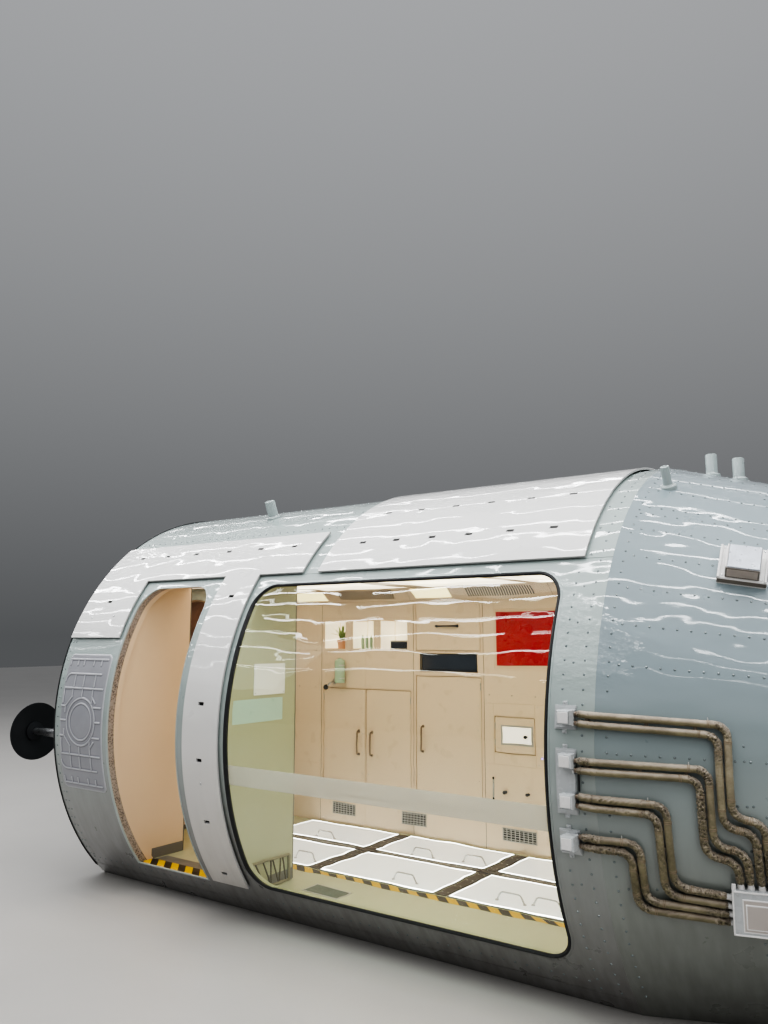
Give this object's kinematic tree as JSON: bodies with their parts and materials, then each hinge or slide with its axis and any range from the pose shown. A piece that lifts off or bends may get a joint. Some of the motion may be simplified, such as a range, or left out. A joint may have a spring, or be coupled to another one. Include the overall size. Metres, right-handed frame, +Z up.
{
  "type": "walk-in space station module mock-up",
  "caption": "Walk-in mock-up of a space station module: a flat-bottomed barrel with doorway, large curved window, shield panels, cone and narrow end, and a cabin with locker racks.",
  "frame": {"origin": "on the floor under the middle of the barrel, on its flat bottom", "axes": "+X along the barrel's axis towards the cone, -Y the side with doorway and window, +Z up"},
  "size_m": [7.6126, 3.292, 2.8324],
  "materials": {
    "hull_paint": "gloss",
    "cone_paint": "gloss",
    "shield_paint": "gloss",
    "relief_plastic": "satin",
    "black_rubber": "matte",
    "black_paint": "satin",
    "liner_metal": "worn foil",
    "collar_steel": "brushed",
    "window_glass": "clear",
    "hose_wrap": "woven tape",
    "cabin_paint": "satin",
    "deck_finish": "satin"
  },
  "bodies": {
    "module": {"barrel_keel": "hull_paint", "barrel_near_side": "hull_paint", "barrel_far_side": "hull_paint", "barrel_crown": "hull_paint", "aft_bulkhead": "hull_paint", "forward_cradle": "hull_paint", "cone_section": "cone_paint", "forward_section": "cone_paint", "shield_panel_door": "shield_paint", "shield_panel_window": "shield_paint", "shield_panel_far": "shield_paint", "connection_box_upper": "shield_paint", "connection_box_middle": "shield_paint", "connection_box_lower": "shield_paint", "junction_box": "shield_paint", "equipment_box": "shield_paint", "docking_cover": "shield_paint", "post_1": "shield_paint", "post_2": "shield_paint", "post_3": "shield_paint", "post_4": "shield_paint", "relief_plate_near": "relief_plastic", "relief_plate_far": "relief_plastic", "aft_trim": "black_rubber", "window_gasket": "black_rubber", "aft_dish_near": "black_paint", "aft_dish_far": "black_paint", "door_liner": "liner_metal", "docking_collar": "collar_steel", "window_glass": "window_glass", "hose_pair_1": "hose_wrap", "hose_pair_2": "hose_wrap", "hose_pair_3": "hose_wrap", "hose_pair_4": "hose_wrap", "forward_bulkhead": "cabin_paint", "ceiling": "cabin_paint", "cornice": "cabin_paint", "partition_aft": "cabin_paint", "partition_forward": "cabin_paint", "rack_1": "cabin_paint", "rack_2": "cabin_paint", "rack_3": "cabin_paint", "rack_4": "cabin_paint", "rack_5": "cabin_paint", "cabin_deck": "deck_finish"},
    "locker_leaf_1": {"locker_door_1": "cabin_paint"},
    "locker_leaf_2": {"locker_door_2": "cabin_paint"},
    "locker_leaf_3": {"locker_door_3": "cabin_paint"},
    "locker_leaf_4": {"locker_door_4": "cabin_paint"},
    "locker_leaf_5": {"locker_door_5": "cabin_paint"},
    "locker_leaf_6": {"locker_door_6": "cabin_paint"},
    "locker_leaf_7": {"locker_door_7": "cabin_paint"}
  },
  "joints": [
    {"name": "locker_hinge_1", "type": "hinge", "parent": "module", "child": "locker_leaf_1", "pos_m": [-1.236, 0.48, 0.855], "axis": [0, 0, -1], "range_deg": [0, 90]},
    {"name": "locker_hinge_2", "type": "hinge", "parent": "module", "child": "locker_leaf_2", "pos_m": [-0.336, 0.48, 0.855], "axis": [0, 0, 1], "range_deg": [0, 90]},
    {"name": "locker_hinge_3", "type": "hinge", "parent": "module", "child": "locker_leaf_3", "pos_m": [0.014, 0.48, 2], "axis": [-1, 0, 0], "range_deg": [0, 85]},
    {"name": "locker_hinge_4", "type": "hinge", "parent": "module", "child": "locker_leaf_4", "pos_m": [0.306, 0.48, 0.93], "axis": [0, 0, 1], "range_deg": [0, 90]},
    {"name": "locker_hinge_5", "type": "hinge", "parent": "module", "child": "locker_leaf_5", "pos_m": [0.424, 0.48, 1.009], "axis": [0, 0, -1], "range_deg": [0, 90]},
    {"name": "locker_hinge_6", "type": "hinge", "parent": "module", "child": "locker_leaf_6", "pos_m": [1.616, 0.48, 2], "axis": [-1, 0, 0], "range_deg": [0, 85]},
    {"name": "locker_hinge_7", "type": "hinge", "parent": "module", "child": "locker_leaf_7", "pos_m": [1.91, 0.48, 0.93], "axis": [0, 0, 1], "range_deg": [0, 90]}
  ]
}
